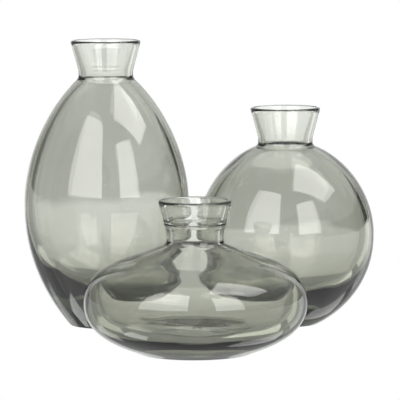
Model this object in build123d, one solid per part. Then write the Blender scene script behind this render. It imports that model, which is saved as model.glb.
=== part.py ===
"""Set of three glass bud vases: a tall, a round and a squat one, each blown in one piece.

The three share one flared neck and stand close together on a flat surface.
Units are millimetres. +Z is up, the vases stand on Z = 0, and the origin is the middle
of the set's footprint. The tall and the round vase stand behind (+Y), the squat one in front.
"""
from build123d import *
from dataclasses import dataclass
from math import cos, radians, sin, tan
import os

# ---- the neck, the same on all three vases ----
RIM_DIAMETER = 40.0        # across the outside of the rounded rim
RIM_THICKNESS = 2.4        # the rim is fire-polished to a full round of this width
NECK_FLARE_ANGLE = 15.0    # the neck opens upwards by this many degrees a side
INNER_FLARE_ANGLE = 17.0   # inside, it opens a little more, so its wall thins towards the rim
THROAT_OUTER_DIAMETER = 31.3
THROAT_STRAIGHT = 1.0      # straight stretch outside, where the neck is narrowest
THROAT_BORE_DIAMETER = 25.0
THROAT_BORE_LENGTH = 4.5   # straight stretch of the bore, below the flare

# ---- the foot ----
KICK_UP = 1.2              # height of the shallow hollow under each vase

# ---- where the vases stand ----
TALL_TO_ROUND = 102.8      # between the two back vases' axes, along X
TALL_TO_SQUAT = (51.0, -107.0)

# ---- mould joint round the squat vase's neck ----
MOULD_RIDGE_HEIGHT = 1.2
MOULD_RIDGE_STAND_OUT = 0.3
MOULD_RIDGE_BELOW_RIM = 13.2


@dataclass
class Vase:
    """One vase. Angles are measured from the vertical."""

    name: str
    height: float
    belly_diameter: float
    belly_height: float        # height of the widest place
    waist_radius: float        # rounding from the flare into the narrowest place
    neck_fillet: float         # rounding from the narrowest place into the shoulder
    shoulder_angle: float      # how steeply the shoulder leaves the neck
    shoulder_reach: float      # how far the shoulder runs straight on from the neck
    upper_fullness: float      # how far the belly runs straight up
    lower_fullness: float      # how far the belly runs straight down
    foot_reach: float          # how far the lower wall runs straight on from the foot
    foot_diameter: float       # outer edge of the ring that it stands on
    foot_angle: float          # how far the lower wall leans out above the foot
    foot_radius: float         # rounding of the foot's edge
    foot_ring_width: float     # width of that ring's flat
    wall: float                # wall thickness at the widest place
    base: float                # thickness of the solid glass under the hollow
    hollow_belly_height: float    # height of the widest place of the hollow
    hollow_fillet: float          # rounding from the bore into the hollow's shoulder
    hollow_shoulder_angle: float  # how steeply the hollow's shoulder leaves the bore
    hollow_shoulder_reach: float  # how far that shoulder runs straight on from the bore
    hollow_upper_fullness: float  # how far the hollow's belly runs straight up
    hollow_lower_fullness: float  # how far the hollow's belly runs straight down
    hollow_floor_reach: float     # how far the hollow's floor runs level from the axis
    mould_ridge: bool = False


TALL = Vase(
    name="tall_vase", height=164.0, belly_diameter=94.7, belly_height=68.5,
    waist_radius=8.0, neck_fillet=4.7,
    shoulder_angle=46.0, shoulder_reach=21.0, upper_fullness=31.0,
    lower_fullness=31.0, foot_reach=19.0, foot_diameter=41.5, foot_angle=39.0, foot_radius=2.0,
    foot_ring_width=3.0, wall=4.5, base=15.0,
    hollow_belly_height=70.0, hollow_fillet=4.7, hollow_shoulder_angle=46.0,
    hollow_shoulder_reach=18.7, hollow_upper_fullness=27.6, hollow_lower_fullness=33.0,
    hollow_floor_reach=25.7,
)
ROUND = Vase(
    name="round_vase", height=125.0, belly_diameter=101.8, belly_height=51.5,
    waist_radius=8.0, neck_fillet=3.2,
    shoulder_angle=68.0, shoulder_reach=18.0, upper_fullness=24.5,
    lower_fullness=29.0, foot_reach=13.0, foot_diameter=35.0, foot_angle=64.0, foot_radius=4.0,
    foot_ring_width=3.0, wall=5.5, base=12.5,
    hollow_belly_height=52.0, hollow_fillet=3.2, hollow_shoulder_angle=68.0,
    hollow_shoulder_reach=15.7, hollow_upper_fullness=21.4, hollow_lower_fullness=23.7,
    hollow_floor_reach=27.2,
)
SQUAT = Vase(
    name="squat_vase", height=83.0, belly_diameter=121.8, belly_height=27.0,
    waist_radius=22.0, neck_fillet=3.5,
    shoulder_angle=68.0, shoulder_reach=21.5, upper_fullness=21.0,
    lower_fullness=18.0, foot_reach=8.5, foot_diameter=62.0, foot_angle=66.0, foot_radius=3.0,
    foot_ring_width=10.5, wall=7.0, base=8.0,
    hollow_belly_height=29.6, hollow_fillet=6.2, hollow_shoulder_angle=61.8,
    hollow_shoulder_reach=21.0, hollow_upper_fullness=14.7, hollow_lower_fullness=15.5,
    hollow_floor_reach=39.0, mould_ridge=True,
)


def leaning(angle, length=1.0):
    """Offset along a wall that leans out by an angle from straight up."""
    return Vector(length * sin(radians(angle)), length * cos(radians(angle)))


def facing(angle, length=1.0):
    """Offset square to that wall, outwards and down."""
    return Vector(length * cos(radians(angle)), -length * sin(radians(angle)))


def arc(centre, radius, start_angle, sweep):
    """Round stretch of an outline, with angles in degrees from +X."""
    return CenterArc((centre.X, centre.Y), radius, start_angle, sweep)


def curve(start, start_handle, end_handle, end):
    """Smooth stretch of wall between two points, leaving along the handles."""
    return Bezier(start, start + start_handle, end + end_handle, end)


def foot_outline(v):
    """Hollow under the foot, the ring it stands on and the rounded edge. Returns its end."""
    ring_outside = v.foot_diameter / 2
    ring_inside = ring_outside - v.foot_ring_width
    # the hollow's arc leaves the axis level, so its centre lies on the axis
    hollow_radius = (ring_inside**2 + KICK_UP**2) / (2 * KICK_UP)
    hollow_centre = Vector(0, KICK_UP - hollow_radius)
    edge = Vector(ring_inside, 0)
    half_angle = (edge - hollow_centre).get_angle(Vector(0, 1))
    arc(hollow_centre, hollow_radius, 90 - half_angle, half_angle)
    Line(edge, (ring_outside, 0))
    centre = Vector(ring_outside, v.foot_radius)
    arc(centre, v.foot_radius, -90, 90 - v.foot_angle)
    return centre + facing(v.foot_angle, v.foot_radius)


def rim_centre(v):
    """Middle of the rim's rounded edge."""
    return Vector((RIM_DIAMETER - RIM_THICKNESS) / 2, v.height - RIM_THICKNESS / 2)


def neck_waist(v):
    """Outside of the neck: the lower end of the straight flare and the top of the throat."""
    rim_edge = rim_centre(v) + facing(NECK_FLARE_ANGLE, RIM_THICKNESS / 2)
    rounding = Vector(v.waist_radius, 0) - facing(-NECK_FLARE_ANGLE, v.waist_radius)
    flare_foot_radius = THROAT_OUTER_DIAMETER / 2 + rounding.X
    flare_height = (rim_edge.X - flare_foot_radius) / tan(radians(NECK_FLARE_ANGLE))
    flare_foot = Vector(flare_foot_radius, rim_edge.Y - flare_height)
    return flare_foot, Vector(THROAT_OUTER_DIAMETER / 2, flare_foot.Y + rounding.Y)


def outer_body(v, foot_end):
    """Lower wall, belly, shoulder and the fillet into the neck. Returns the throat's lower end."""
    belly = Vector(v.belly_diameter / 2, v.belly_height)
    curve(foot_end, leaning(v.foot_angle, v.foot_reach), Vector(0, -v.lower_fullness), belly)
    throat = neck_waist(v)[1] - Vector(0, THROAT_STRAIGHT)
    centre = throat + Vector(v.neck_fillet, 0)
    shoulder_top = centre - facing(-v.shoulder_angle, v.neck_fillet)
    along_shoulder = leaning(180 - v.shoulder_angle, v.shoulder_reach)
    curve(belly, Vector(0, v.upper_fullness), along_shoulder, shoulder_top)
    arc(centre, v.neck_fillet, 180 + v.shoulder_angle, -v.shoulder_angle)
    return throat


def outer_neck(v, throat):
    """Throat, waist and flare up to the rim's outer edge."""
    flare_foot, throat_top = neck_waist(v)
    Line(throat, throat_top)
    waist_centre = throat_top + Vector(v.waist_radius, 0)
    arc(waist_centre, v.waist_radius, 180, -NECK_FLARE_ANGLE)
    rim_edge = rim_centre(v) + facing(NECK_FLARE_ANGLE, RIM_THICKNESS / 2)
    if not v.mould_ridge:
        Line(flare_foot, rim_edge)
        return
    up_flare = leaning(NECK_FLARE_ANGLE)
    rise = v.height - MOULD_RIDGE_BELOW_RIM - flare_foot.Y
    ridge = flare_foot + up_flare * (rise / up_flare.Y)
    ridge_foot = ridge - up_flare * (MOULD_RIDGE_HEIGHT / 2)
    ridge_top = ridge + up_flare * (MOULD_RIDGE_HEIGHT / 2)
    Line(flare_foot, ridge_foot)
    ThreePointArc(ridge_foot, ridge + facing(NECK_FLARE_ANGLE, MOULD_RIDGE_STAND_OUT), ridge_top)
    Line(ridge_top, rim_edge)


def rim_and_bore(v):
    """Rounded rim, the inside of the flare and the throat's bore. Returns the bore's lower end."""
    lip = RIM_THICKNESS / 2
    arc(rim_centre(v), lip, -NECK_FLARE_ANGLE, 180 + NECK_FLARE_ANGLE - INNER_FLARE_ANGLE)
    inner_edge = rim_centre(v) - facing(INNER_FLARE_ANGLE, lip)
    bore_radius = THROAT_BORE_DIAMETER / 2
    drop = (inner_edge.X - bore_radius) / tan(radians(INNER_FLARE_ANGLE))
    bore_top = Vector(bore_radius, inner_edge.Y - drop)
    bore_foot = bore_top - Vector(0, THROAT_BORE_LENGTH)
    Line(inner_edge, bore_top)
    Line(bore_top, bore_foot)
    return bore_foot


def hollow_outline(v, bore_foot):
    """Inside of the shoulder, belly and bowl-shaped floor, down to the axis."""
    centre = bore_foot + Vector(v.hollow_fillet, 0)
    arc(centre, v.hollow_fillet, 180, v.hollow_shoulder_angle)
    shoulder_top = centre - facing(-v.hollow_shoulder_angle, v.hollow_fillet)
    belly = Vector(v.belly_diameter / 2 - v.wall, v.hollow_belly_height)
    along_shoulder = leaning(180 - v.hollow_shoulder_angle, v.hollow_shoulder_reach)
    curve(shoulder_top, along_shoulder, Vector(0, v.hollow_upper_fullness), belly)
    floor = Vector(0, v.base)
    curve(belly, Vector(0, -v.hollow_lower_fullness), Vector(v.hollow_floor_reach, 0), floor)
    return floor


def blow_vase(v):
    """The vase's glass, turned about its own axis."""
    with BuildPart() as glass:
        with BuildSketch(Plane.XZ):
            with BuildLine():
                foot_end = foot_outline(v)
                throat = outer_body(v, foot_end)
                outer_neck(v, throat)
                bore_foot = rim_and_bore(v)
                floor = hollow_outline(v, bore_foot)
                Line(floor, (0, KICK_UP))
            make_face()
        revolve(axis=Axis.Z)
    return glass.part


def standing_places():
    """Each vase's place, with the middle of the set's footprint at the origin."""
    places = {
        TALL.name: (0.0, 0.0),
        ROUND.name: (TALL_TO_ROUND, 0.0),
        SQUAT.name: TALL_TO_SQUAT,
    }
    vases = (TALL, ROUND, SQUAT)
    middle = []
    for side in (0, 1):
        low = min(places[v.name][side] - v.belly_diameter / 2 for v in vases)
        high = max(places[v.name][side] + v.belly_diameter / 2 for v in vases)
        middle.append((low + high) / 2)
    return {name: (x - middle[0], y - middle[1]) for name, (x, y) in places.items()}


os.makedirs("parts", exist_ok=True)
for vase in (TALL, ROUND, SQUAT):
    x, y = standing_places()[vase.name]
    glass = Pos(x, y, 0) * blow_vase(vase)
    glass.label = vase.name
    export_step(glass, f"parts/{vase.name}.step")
    print(f"{vase.name}: axis at {x:.2f}, {y:.2f}, glass {glass.volume / 1000:.0f} cm3")
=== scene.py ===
"""Three smoked glass bud vases, each blown in one piece, and the studio they stand in."""

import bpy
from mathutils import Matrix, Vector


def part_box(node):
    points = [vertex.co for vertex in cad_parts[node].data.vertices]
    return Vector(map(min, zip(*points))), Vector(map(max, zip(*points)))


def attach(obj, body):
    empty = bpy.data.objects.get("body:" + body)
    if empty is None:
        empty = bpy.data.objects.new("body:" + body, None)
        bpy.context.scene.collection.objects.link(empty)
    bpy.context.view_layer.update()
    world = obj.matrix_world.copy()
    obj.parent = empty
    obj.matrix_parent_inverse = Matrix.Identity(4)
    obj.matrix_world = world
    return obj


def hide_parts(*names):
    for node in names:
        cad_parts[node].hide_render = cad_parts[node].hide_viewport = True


bl_info = {
    "name": "Glass bud vases",
    "version": (1, 0, 0),
    "blender": (4, 5, 0),
    "location": "View3D > Sidebar > Bud vases",
    "description": "Builds three smoked glass bud vases and the studio they stand in",
    "category": "Add Mesh",
}

from dataclasses import dataclass
from math import acos, cos, degrees, pi, radians, sin, tan

import bmesh
import bpy
from bpy.props import (
    FloatProperty,
    FloatVectorProperty,
    IntProperty,
    PointerProperty,
)
from mathutils import Vector, noise
from mathutils.geometry import interpolate_bezier

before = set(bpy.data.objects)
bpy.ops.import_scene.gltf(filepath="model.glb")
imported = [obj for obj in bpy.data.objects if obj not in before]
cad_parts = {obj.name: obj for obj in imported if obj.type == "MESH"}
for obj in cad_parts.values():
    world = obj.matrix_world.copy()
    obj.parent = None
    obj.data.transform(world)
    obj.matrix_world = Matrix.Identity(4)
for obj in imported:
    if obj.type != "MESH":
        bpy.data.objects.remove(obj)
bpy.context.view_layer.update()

MM = 0.001

# ---- the neck, the same on all three vases, in millimetres and degrees ----
RIM_DIAMETER = 40.0
RIM_THICKNESS = 2.4
NECK_FLARE_ANGLE = 15.0
INNER_FLARE_ANGLE = 17.0
THROAT_OUTER_DIAMETER = 31.3
THROAT_STRAIGHT = 1.0
THROAT_BORE_DIAMETER = 25.0
THROAT_BORE_LENGTH = 4.5

# ---- the foot ----
KICK_UP = 1.2

# ---- mould joint round the squat vase's neck ----
MOULD_RIDGE_HEIGHT = 1.2
MOULD_RIDGE_STAND_OUT = 0.3
MOULD_RIDGE_BELOW_RIM = 13.2

# ---- unevenness of the hollow's wall ----
STREAKS = 1.6              # how closely they follow each other round the axis
STREAK_LENGTH = 38.0
EVEN_BELOW_RIM = 26.0      # the neck's inside is even down to here
EVEN_FADE = 8.0            # and the unevenness comes in over this height

# ---- skin of the glass ----
CORD_SPACING = 16.0
CORD_STRETCH = 0.3         # cords are drawn out along the vase
SCRATCH_SPACING = 0.8
SCUFF_HEIGHT = 0.25        # how far up the foot is scuffed
SCUFF_ROUGHNESS = 0.35

STEP = 1.2                 # longest step along an outline
BEND_SLACK = 1.15          # a bent stretch of wall is about this much longer than its chord
MERGE_DISTANCE = 0.0005


@dataclass
class VaseShape:
    """One vase's outline, in millimetres and in degrees from the vertical."""

    node: str
    slot: str
    belly_height: float
    waist_radius: float
    neck_fillet: float
    shoulder_angle: float
    shoulder_reach: float
    upper_fullness: float
    lower_fullness: float
    foot_reach: float
    foot_diameter: float
    foot_angle: float
    foot_radius: float
    foot_ring_width: float
    wall: float
    base: float
    hollow_belly_height: float
    hollow_fillet: float
    hollow_shoulder_angle: float
    hollow_shoulder_reach: float
    hollow_upper_fullness: float
    hollow_lower_fullness: float
    hollow_floor_reach: float
    mould_ridge: bool = False

    def __post_init__(self):
        low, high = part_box(self.node)
        self.axis = (low + high) / 2
        self.height = (high.z - low.z) / MM
        self.belly_diameter = (high.x - low.x) / MM


TALL = VaseShape(
    node="tall_vase", slot="tall_glass", belly_height=68.5, waist_radius=8.0, neck_fillet=4.7,
    shoulder_angle=46.0, shoulder_reach=21.0, upper_fullness=31.0,
    lower_fullness=31.0, foot_reach=19.0, foot_diameter=41.5, foot_angle=39.0, foot_radius=2.0,
    foot_ring_width=3.0, wall=4.5, base=15.0,
    hollow_belly_height=70.0, hollow_fillet=4.7, hollow_shoulder_angle=46.0,
    hollow_shoulder_reach=18.7, hollow_upper_fullness=27.6, hollow_lower_fullness=33.0,
    hollow_floor_reach=25.7,
)
ROUND = VaseShape(
    node="round_vase", slot="round_glass", belly_height=51.5, waist_radius=8.0, neck_fillet=3.2,
    shoulder_angle=68.0, shoulder_reach=18.0, upper_fullness=24.5,
    lower_fullness=29.0, foot_reach=13.0, foot_diameter=35.0, foot_angle=64.0, foot_radius=4.0,
    foot_ring_width=3.0, wall=5.5, base=12.5,
    hollow_belly_height=52.0, hollow_fillet=3.2, hollow_shoulder_angle=68.0,
    hollow_shoulder_reach=15.7, hollow_upper_fullness=21.4, hollow_lower_fullness=23.7,
    hollow_floor_reach=27.2,
)
SQUAT = VaseShape(
    node="squat_vase", slot="squat_glass", belly_height=27.0, waist_radius=22.0, neck_fillet=3.5,
    shoulder_angle=68.0, shoulder_reach=21.5, upper_fullness=21.0,
    lower_fullness=18.0, foot_reach=8.5, foot_diameter=62.0, foot_angle=66.0, foot_radius=3.0,
    foot_ring_width=10.5, wall=7.0, base=8.0,
    hollow_belly_height=29.6, hollow_fillet=6.2, hollow_shoulder_angle=61.8,
    hollow_shoulder_reach=21.0, hollow_upper_fullness=14.7, hollow_lower_fullness=15.5,
    hollow_floor_reach=39.0, mould_ridge=True,
)


# ---- drawing an outline, in the plane of the vase's axis: X is outwards, Y is up ----

def leaning(angle, length=1.0):
    """Offset along a wall that leans out by an angle from straight up."""
    return Vector((length * sin(radians(angle)), length * cos(radians(angle))))


def facing(angle, length=1.0):
    """Offset square to that wall, outwards and down."""
    return Vector((length * cos(radians(angle)), -length * sin(radians(angle))))


def arc(centre, radius, start_angle, sweep, least=4):
    """Points along a round stretch, with angles in degrees from +X."""
    steps = max(least, round(abs(radians(sweep)) * radius / STEP))
    angles = [radians(start_angle + sweep * i / steps) for i in range(steps + 1)]
    return [centre + Vector((radius * cos(a), radius * sin(a))) for a in angles]


def curve(start, start_handle, end_handle, end):
    """Points along a smooth stretch of wall, which leaves its ends along the handles."""
    ends = [start, start + start_handle, end + end_handle, end]
    steps = max(8, round((end - start).length * BEND_SLACK / STEP))
    return [p.to_2d() for p in interpolate_bezier(*(v.to_3d() for v in ends), steps)]


def foot_outline(v):
    """Hollow under the foot, the ring it stands on and its rounded edge."""
    ring_outside = v.foot_diameter / 2
    ring_inside = ring_outside - v.foot_ring_width
    hollow_radius = (ring_inside**2 + KICK_UP**2) / (2 * KICK_UP)
    half_angle = degrees(acos(1 - KICK_UP / hollow_radius))
    hollow = arc(Vector((0, KICK_UP - hollow_radius)), hollow_radius, 90, -half_angle)
    edge = arc(Vector((ring_outside, v.foot_radius)), v.foot_radius, -90, 90 - v.foot_angle, 6)
    return hollow + edge


def rim_centre(v):
    """Middle of the rim's rounded edge."""
    return Vector(((RIM_DIAMETER - RIM_THICKNESS) / 2, v.height - RIM_THICKNESS / 2))


def neck_outline(v):
    """Outside of the neck, from the narrowest place's top to the rim's outer edge."""
    rim_edge = rim_centre(v) + facing(NECK_FLARE_ANGLE, RIM_THICKNESS / 2)
    rounding = Vector((v.waist_radius, 0)) - facing(-NECK_FLARE_ANGLE, v.waist_radius)
    flare_foot = Vector((THROAT_OUTER_DIAMETER / 2 + rounding.x, 0))
    flare_foot.y = rim_edge.y - (rim_edge.x - flare_foot.x) / tan(radians(NECK_FLARE_ANGLE))
    throat_top = flare_foot - Vector((rounding.x, -rounding.y))
    centre = throat_top + Vector((v.waist_radius, 0))
    points = arc(centre, v.waist_radius, 180, -NECK_FLARE_ANGLE)
    if v.mould_ridge:
        along = leaning(NECK_FLARE_ANGLE)
        ridge_height = v.height - MOULD_RIDGE_BELOW_RIM
        ridge = flare_foot + along * ((ridge_height - flare_foot.y) / along.y)
        half = MOULD_RIDGE_HEIGHT / 2
        radius = (half**2 + MOULD_RIDGE_STAND_OUT**2) / (2 * MOULD_RIDGE_STAND_OUT)
        ridge_centre = ridge + facing(NECK_FLARE_ANGLE, MOULD_RIDGE_STAND_OUT - radius)
        spread = degrees(acos(1 - MOULD_RIDGE_STAND_OUT / radius))
        points += arc(ridge_centre, radius, -NECK_FLARE_ANGLE - spread, 2 * spread, 6)
    return points + [rim_edge]


def body_outline(v, throat):
    """Lower wall, belly, shoulder and the fillet into the neck."""
    foot_end = Vector((v.foot_diameter / 2, v.foot_radius)) + facing(v.foot_angle, v.foot_radius)
    belly = Vector((v.belly_diameter / 2, v.belly_height))
    lower = curve(foot_end, leaning(v.foot_angle, v.foot_reach),
                  Vector((0, -v.lower_fullness)), belly)
    centre = throat + Vector((v.neck_fillet, 0))
    shoulder_top = centre - facing(-v.shoulder_angle, v.neck_fillet)
    upper = curve(belly, Vector((0, v.upper_fullness)),
                  leaning(180 - v.shoulder_angle, v.shoulder_reach), shoulder_top)
    fillet = arc(centre, v.neck_fillet, 180 + v.shoulder_angle, -v.shoulder_angle, 8)
    return lower + upper + fillet


def inner_outline(v):
    """Rim, inside of the flare, bore, and the hollow down to the middle of its floor."""
    lip = RIM_THICKNESS / 2
    round_over = 180 + NECK_FLARE_ANGLE - INNER_FLARE_ANGLE
    rim = arc(rim_centre(v), lip, -NECK_FLARE_ANGLE, round_over, 10)
    bore_radius = THROAT_BORE_DIAMETER / 2
    bore_top = Vector((bore_radius, 0))
    bore_top.y = rim[-1].y - (rim[-1].x - bore_radius) / tan(radians(INNER_FLARE_ANGLE))
    bore_foot = bore_top - Vector((0, THROAT_BORE_LENGTH))
    centre = bore_foot + Vector((v.hollow_fillet, 0))
    fillet = arc(centre, v.hollow_fillet, 180, v.hollow_shoulder_angle, 8)
    belly = Vector((v.belly_diameter / 2 - v.wall, v.hollow_belly_height))
    along_shoulder = leaning(180 - v.hollow_shoulder_angle, v.hollow_shoulder_reach)
    upper = curve(fillet[-1], along_shoulder, Vector((0, v.hollow_upper_fullness)), belly)
    lower = curve(belly, Vector((0, -v.hollow_lower_fullness)),
                  Vector((v.hollow_floor_reach, 0)), Vector((0, v.base)))
    return rim + [bore_top] + fillet + upper + lower


def straight_run(points):
    """The same outline with long straight runs cut into steps, and doubled points left out."""
    out = [points[0]]
    for p in points[1:]:
        gap = (p - out[-1]).length
        if gap < MERGE_DISTANCE:
            continue
        steps = max(1, round(gap / (2 * STEP)))
        start = out[-1]
        out += [start.lerp(p, i / steps) for i in range(1, steps + 1)]
    return out


def vase_outline(v):
    """Whole section of the glass, from the middle of the foot to the middle of the hollow's floor."""
    neck = neck_outline(v)
    throat = neck[0] - Vector((0, THROAT_STRAIGHT))
    points = foot_outline(v) + body_outline(v, throat) + neck + inner_outline(v)
    return straight_run(points)


# ---- glass ----

GLASS = "blown_smoked_soda_lime_glass"


def srgb(hex_code):
    """sRGB hex colour as linear RGB."""
    channels = [int(hex_code[i:i + 2], 16) / 255 for i in (1, 3, 5)]
    return [c / 12.92 if c <= 0.04045 else ((c + 0.055) / 1.055) ** 2.4 for c in channels]


def add_node(tree, kind, settings=None, inputs=None):
    """Adds a node, sets its properties and its sockets, and links the sockets that are given one."""
    node = tree.nodes.new(kind)
    for name, value in (settings or {}).items():
        setattr(node, name, value)
    for name, value in (inputs or {}).items():
        if isinstance(value, bpy.types.NodeSocket):
            tree.links.new(value, node.inputs[name])
        else:
            node.inputs[name].default_value = value
    return node


def new_material(name):
    """Empty node material and its tree."""
    material = bpy.data.materials.new(name)
    material.use_nodes = True
    material.node_tree.nodes.clear()
    return material, material.node_tree


def blown_smoked_glass():
    """Soda-lime glass, smoke grey, blown in a mould and fire-polished.

    Its skin ripples faintly down the vase, as cooled cords do, so reflections waver at their
    edges. The ring it stands on is scuffed dull by use.
    """
    glass = bpy.context.scene.bud_vase_glass
    material, tree = new_material(GLASS)
    place = add_node(tree, "ShaderNodeTexCoord").outputs["Object"]
    drawn_out = add_node(tree, "ShaderNodeVectorMath", {"operation": "MULTIPLY"}, {
        0: place, 1: [1, 1, CORD_STRETCH],
    })
    cords = add_node(tree, "ShaderNodeTexNoise", inputs={
        "Vector": drawn_out.outputs["Vector"], "Scale": 1 / (CORD_SPACING * MM), "Detail": 1.0,
    })
    ripple = add_node(tree, "ShaderNodeBump", inputs={
        "Height": cords.outputs["Fac"], "Strength": 1.0, "Distance": glass.ripple,
    })
    height = add_node(tree, "ShaderNodeSeparateXYZ", inputs={0: place})
    scratches = add_node(tree, "ShaderNodeTexNoise", inputs={
        "Vector": place, "Scale": 1 / (SCRATCH_SPACING * MM), "Detail": 3.0,
    })
    worn = add_node(tree, "ShaderNodeMapRange", inputs={
        "Value": height.outputs["Z"], "From Min": SCUFF_HEIGHT * MM, "From Max": 0.0,
        "To Min": 0.0, "To Max": SCUFF_ROUGHNESS,
    })
    dullness = add_node(tree, "ShaderNodeMath", {"operation": "MULTIPLY"}, {
        0: worn.outputs["Result"], 1: scratches.outputs["Fac"],
    })
    surface = add_node(tree, "ShaderNodeBsdfPrincipled", inputs={
        "Base Color": [1, 1, 1, 1], "Transmission Weight": 1.0, "IOR": glass.ior,
        "Roughness": dullness.outputs[0], "Normal": ripple.outputs["Normal"],
    })
    smoke = add_node(tree, "ShaderNodeVolumeAbsorption", inputs={
        "Color": [*glass.smoke, 1.0], "Density": glass.density,
    })
    add_node(tree, "ShaderNodeOutputMaterial", inputs={
        "Surface": surface.outputs["BSDF"], "Volume": smoke.outputs["Volume"],
    })
    return material


def share_inside(v, outline):
    """For each point of the outline, its share of the hollow's unevenness, from 0 to 1."""
    even_to = v.height - EVEN_BELOW_RIM
    past_rim = False
    for p in outline:
        past_rim = past_rim or p.y > v.height - RIM_THICKNESS / 2
        yield min(max((even_to - p.y) / EVEN_FADE, 0.0), 1.0) if past_rim else 0.0


def blow_unevenly(bm, inside, axis, depth):
    """Moves the hollow's wall in and out a little, in streaks that run down from the neck."""
    for vert in bm.verts:
        if vert[inside] == 0:
            continue
        arm = vert.co - axis
        around = Vector((arm.x, arm.y, 0)).normalized() * STREAKS
        streak = noise.noise(around + Vector((0, 0, arm.z / (STREAK_LENGTH * MM))))
        vert.co += vert.normal * (vert[inside] * depth * streak)


def turn_vase(v, material):
    """Spins a vase's outline round its axis into a closed shell of glass."""
    glass = bpy.context.scene.bud_vase_glass
    bm = bmesh.new()
    axis = Vector((v.axis.x, v.axis.y, 0))
    outline = vase_outline(v)
    inside = bm.verts.layers.float.new("inside")
    verts = [bm.verts.new(axis + Vector((p.x, 0, p.y)) * MM) for p in outline]
    for vert, share in zip(verts, share_inside(v, outline)):
        vert[inside] = share
    edges = [bm.edges.new(pair) for pair in zip(verts, verts[1:])]
    bmesh.ops.spin(bm, geom=verts + edges, cent=axis, axis=(0, 0, 1), dvec=(0, 0, 0),
                   angle=2 * pi, steps=glass.steps_round, use_merge=True)
    bmesh.ops.remove_doubles(bm, verts=bm.verts, dist=MERGE_DISTANCE * MM)
    bmesh.ops.recalc_face_normals(bm, faces=bm.faces)
    blow_unevenly(bm, inside, axis, glass.unevenness)
    for face in bm.faces:
        face.smooth = True
    mesh = bpy.data.meshes.new(v.node + "_glass")
    bm.to_mesh(mesh)
    bm.free()
    mesh.materials.append(material)
    vase = bpy.data.objects.new(v.node + "_glass", mesh)
    bpy.context.collection.objects.link(vase)
    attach(vase, v.node)
    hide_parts(v.node)


def make_glass_vase(v):
    """One vase, in the glass that all three share."""
    turn_vase(v, bpy.data.materials.get(GLASS) or blown_smoked_glass())


# ---- studio ----

SENSOR_WIDTH = 36.0
FLOOR_HALF_WIDTH = 6.0


def put_camera():
    """Camera in front, looking a little down on the vases."""
    studio = bpy.context.scene.bud_vase_studio
    data = bpy.data.cameras.new("camera")
    data.lens = studio.lens
    data.sensor_width = SENSOR_WIDTH
    data.clip_start, data.clip_end = 0.05, 50.0
    camera = bpy.data.objects.new("camera", data)
    bpy.context.collection.objects.link(camera)
    camera.location = (studio.camera_aside, -studio.camera_distance, studio.camera_height)
    camera.rotation_euler = (pi / 2 - studio.camera_tilt, studio.camera_roll, 0)
    bpy.context.scene.camera = camera


def put_floor():
    """White table top. Only the camera sees it: the glass sees the one in ROOM."""
    bm = bmesh.new()
    bmesh.ops.create_grid(bm, x_segments=1, y_segments=1, size=FLOOR_HALF_WIDTH)
    mesh = bpy.data.meshes.new("floor")
    bm.to_mesh(mesh)
    bm.free()
    material, tree = new_material("evenly_lit_white_paper")
    paper = add_node(tree, "ShaderNodeEmission", inputs={"Color": [1, 1, 1, 1], "Strength": 1.0})
    add_node(tree, "ShaderNodeOutputMaterial", inputs={"Surface": paper.outputs["Emission"]})
    mesh.materials.append(material)
    floor = bpy.data.objects.new("floor", mesh)
    bpy.context.collection.objects.link(floor)
    floor.visible_diffuse = floor.visible_glossy = False
    floor.visible_transmission = floor.visible_shadow = False


# Name, middle, width and height in metres, and whether it hangs level over the table
SOFTBOXES = (
    ("front_left_softbox", (-0.645, -1.012, 1.04), 1.11, 1.68, False),
    ("front_right_softbox", (0.671, -0.995, 0.67), 0.64, 1.00, False),
    ("overhead_softbox", (0.87, -0.24, 1.2), 1.26, 0.84, True),
)


def hang_softboxes():
    """Softboxes, the upright ones turned to face the vases."""
    studio = bpy.context.scene.bud_vase_studio
    for name, place, width, height, level in SOFTBOXES:
        data = bpy.data.lights.new(name, "AREA")
        data.shape = "RECTANGLE"
        data.size, data.size_y = width, height
        data.energy = studio.softbox_brightness * pi * width * height
        light = bpy.data.objects.new(name, data)
        light.location = place
        aim = Vector((0, 0, -1)) if level else Vector((-place[0], -place[1], 0))
        light.rotation_euler = aim.to_track_quat("-Z", "Y").to_euler()
        light.visible_camera = False
        bpy.context.collection.objects.link(light)


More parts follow.
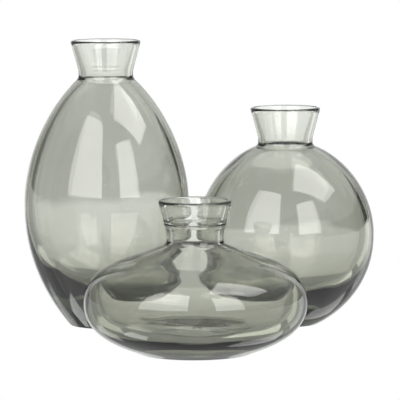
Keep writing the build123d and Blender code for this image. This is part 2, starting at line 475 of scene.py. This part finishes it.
# What the glass sees of the room: middle azimuth and half the width, with 0 behind the vases
# and 90 to their right, lowest and highest elevation, in degrees, and brightness, where white
# is 1. Later ones stand in front of earlier ones.
ROOM = (
    (0, 181, 0, 91, 0.5),          # walls and ceiling
    (180, 60, 0, 50, 0.5),         # front wall
    (0, 100, 45, 91, 0.8),         # ceiling behind
    (-75, 50, 0, 34, 0.4),         # left wall, and the light it catches higher up
    (-75, 50, 34, 62, 0.6),
    (85, 52, 14, 45, 0.75),        # right wall
    (100, 36, 0, 14, 0.2),
    (0, 17, 0, 14, 0.9),           # backdrop
    (0, 17, 14, 45, 0.55),
    (-24, 8, 0, 30, 0.75),         # its edges
    (24, 8, 0, 30, 0.85),
    (-44, 13, 0, 15, 0.25),        # dark gaps left and right of it
    (49, 16, -2, 15, 0.1),
    (0, 181, -91, 0, 1.15),        # table top
    (0, 60, -78, -28, 0.55),       # behind the vases, in their shadow
    (180, 60, -40, -14, 1.4),      # in front, near and far
    (180, 60, -14, 0, 0.9),
    (-90, 50, -28, 0, 0.75),       # to the left and the right
    (95, 47, -28, 0, 0.9),
    (-112, 22, -75, -28, 1.4),
    (90, 42, -62, -28, 1.0),
    (-62, 12, -44, -28, 0.8),
    (-75, 14, -62, -46, 4.2),      # light that the vases gather on the table
    (-38, 10, -42, -26, 1.5),
    (36, 12, -62, -35, 1.9),
    (-32, 12, -24, 0, 0.55),       # behind, from left to right
    (38, 8, -28, 0, 1.4),
    (24, 8, -28, 0, 0.75),
    (-4, 20, -28, -14, 1.05),
    (-4, 20, -14, 0, 1.12),
    (0, 20, -6.1, 0, 0.8),        # backdrop down to the table's edge
)
ROOM_SOFTNESS = 1.0            # degrees over which one gives way to the next
ROOM_TINT = "#FDFFFD"


def light_room():
    """World that the camera sees as white and the glass sees as ROOM."""
    studio = bpy.context.scene.bud_vase_studio
    world = bpy.data.worlds.new("studio")
    world.use_nodes = True
    tree = world.node_tree
    tree.nodes.clear()

    def math(operation, *values):
        node = add_node(tree, "ShaderNodeMath", {"operation": operation}, dict(enumerate(values)))
        return node.outputs[0]

    def within(value, half):
        """1 nearer to 0 than half, and 0 beyond it, with a soft edge."""
        window = add_node(tree, "ShaderNodeMapRange", {"interpolation_type": "SMOOTHSTEP"}, {
            "Value": math("ABSOLUTE", value),
            "From Min": half + ROOM_SOFTNESS / 2, "From Max": half - ROOM_SOFTNESS / 2,
        })
        return window.outputs[0]

    direction = add_node(tree, "ShaderNodeTexCoord").outputs["Generated"]
    split = add_node(tree, "ShaderNodeSeparateXYZ", inputs={0: direction})
    azimuth = math("DEGREES", math("ARCTAN2", split.outputs["X"], split.outputs["Y"]))
    elevation = math("DEGREES", math("ARCSINE", split.outputs["Z"]))
    light = 0.0
    for middle, half, low, high, brightness in ROOM:
        beside = math("WRAP", math("SUBTRACT", azimuth, middle), 180.0, -180.0)
        above = math("SUBTRACT", elevation, (low + high) / 2)
        share = math("MULTIPLY", within(beside, half), within(above, (high - low) / 2))
        light = math("MULTIPLY_ADD", share, math("SUBTRACT", brightness, light), light)
    light = math("MULTIPLY", light, studio.room_brightness)
    room = add_node(tree, "ShaderNodeBackground", inputs={
        "Color": [*srgb(ROOM_TINT), 1.0], "Strength": light})
    white = add_node(tree, "ShaderNodeBackground", inputs={"Color": [1, 1, 1, 1]})
    ray = add_node(tree, "ShaderNodeLightPath")
    seen = add_node(tree, "ShaderNodeMixShader", inputs={
        0: ray.outputs["Is Camera Ray"],
        1: room.outputs["Background"], 2: white.outputs["Background"],
    })
    add_node(tree, "ShaderNodeOutputWorld", inputs={"Surface": seen.outputs["Shader"]})
    bpy.context.scene.world = world


def set_film():
    """Colours as they are, and enough bounces for light to find its way through thick glass."""
    scene = bpy.context.scene
    scene.view_settings.view_transform = "Standard"
    scene.cycles.max_bounces = 32
    scene.cycles.transmission_bounces = 32
    scene.cycles.glossy_bounces = 16


class BudVaseGlass(bpy.types.PropertyGroup):
    """Glass of all three vases."""

    smoke: FloatVectorProperty(
        name="Smoke", description="Colour that the glass lets through", subtype="COLOR",
        size=3, min=0, max=1, default=srgb("#A3A68E"))
    density: FloatProperty(
        name="Density", description="How strongly the smoke darkens, per metre of glass",
        min=0, default=100.0)
    ior: FloatProperty(
        name="Refraction", description="Index of refraction of soda-lime glass",
        min=1.0, max=2.0, default=1.52)
    unevenness: FloatProperty(
        name="Unevenness", description="How far the hollow's wall wanders", unit="LENGTH",
        min=0, default=0.0004)
    ripple: FloatProperty(
        name="Ripple", description="Depth of the ripple in the glass's skin", unit="LENGTH",
        min=0, default=0.0001)
    steps_round: IntProperty(
        name="Steps round", description="Steps round a vase's axis", min=24, max=400, default=256)


class BudVaseStudio(bpy.types.PropertyGroup):
    """Camera, floor and lights."""

    lens: FloatProperty(name="Lens", description="Focal length in millimetres", default=286.0)
    camera_distance: FloatProperty(
        name="Camera distance", description="From the middle of the set", unit="LENGTH", default=1.7605)
    camera_aside: FloatProperty(
        name="Camera aside", description="To the right of the set's middle", unit="LENGTH",
        default=0.0014)
    camera_height: FloatProperty(
        name="Camera height", description="Above the floor", unit="LENGTH", default=0.2632)
    camera_tilt: FloatProperty(
        name="Camera tilt", description="Down from level", subtype="ANGLE", default=radians(6.01))
    camera_roll: FloatProperty(
        name="Camera roll", description="Leans the camera to its right", subtype="ANGLE",
        default=radians(0.28))
    softbox_brightness: FloatProperty(
        name="Softboxes", description="Brightness of the softboxes' faces, where white is 1",
        min=0, default=4.2)
    room_brightness: FloatProperty(
        name="Room", description="Scales the brightness of the rest of the room", min=0, default=1.0)


class MakeTallVase(bpy.types.Operator):
    """Turns the tall vase in glass"""

    bl_idname = "bud_vase.tall"
    bl_label = "Tall vase"

    def execute(self, context):
        make_glass_vase(TALL)
        return {"FINISHED"}


class MakeRoundVase(bpy.types.Operator):
    """Turns the round vase in glass"""

    bl_idname = "bud_vase.round"
    bl_label = "Round vase"

    def execute(self, context):
        make_glass_vase(ROUND)
        return {"FINISHED"}


class MakeSquatVase(bpy.types.Operator):
    """Turns the squat vase in glass"""

    bl_idname = "bud_vase.squat"
    bl_label = "Squat vase"

    def execute(self, context):
        make_glass_vase(SQUAT)
        return {"FINISHED"}


class MakeStudio(bpy.types.Operator):
    """Sets up the camera, the floor and the lights"""

    bl_idname = "bud_vase.studio"
    bl_label = "Studio"

    def execute(self, context):
        put_camera()
        put_floor()
        hang_softboxes()
        light_room()
        set_film()
        return {"FINISHED"}


OPERATORS = (MakeStudio, MakeTallVase, MakeRoundVase, MakeSquatVase)


class BudVasePanel(bpy.types.Panel):
    """Lists what makes the vases and the studio"""

    bl_idname = "VIEW3D_PT_bud_vases"
    bl_label = "Glass bud vases"
    bl_space_type = "VIEW_3D"
    bl_region_type = "UI"
    bl_category = "Bud vases"

    def draw(self, context):
        for operator in OPERATORS:
            self.layout.operator(operator.bl_idname)
        for group in (context.scene.bud_vase_glass, context.scene.bud_vase_studio):
            for name in group.bl_rna.properties.keys():
                if name not in ("rna_type", "name"):
                    self.layout.prop(group, name)


CLASSES = (BudVaseGlass, BudVaseStudio, *OPERATORS, BudVasePanel)


def register():
    for cls in CLASSES:
        bpy.utils.register_class(cls)
    bpy.types.Scene.bud_vase_glass = PointerProperty(type=BudVaseGlass)
    bpy.types.Scene.bud_vase_studio = PointerProperty(type=BudVaseStudio)


def unregister():
    del bpy.types.Scene.bud_vase_studio
    del bpy.types.Scene.bud_vase_glass
    for cls in reversed(CLASSES):
        bpy.utils.unregister_class(cls)


def main():
    """Builds the studio and the three vases."""
    register()
    bpy.ops.bud_vase.studio()
    bpy.ops.bud_vase.tall()
    bpy.ops.bud_vase.round()
    bpy.ops.bud_vase.squat()


if __name__ == "__main__":
    main()
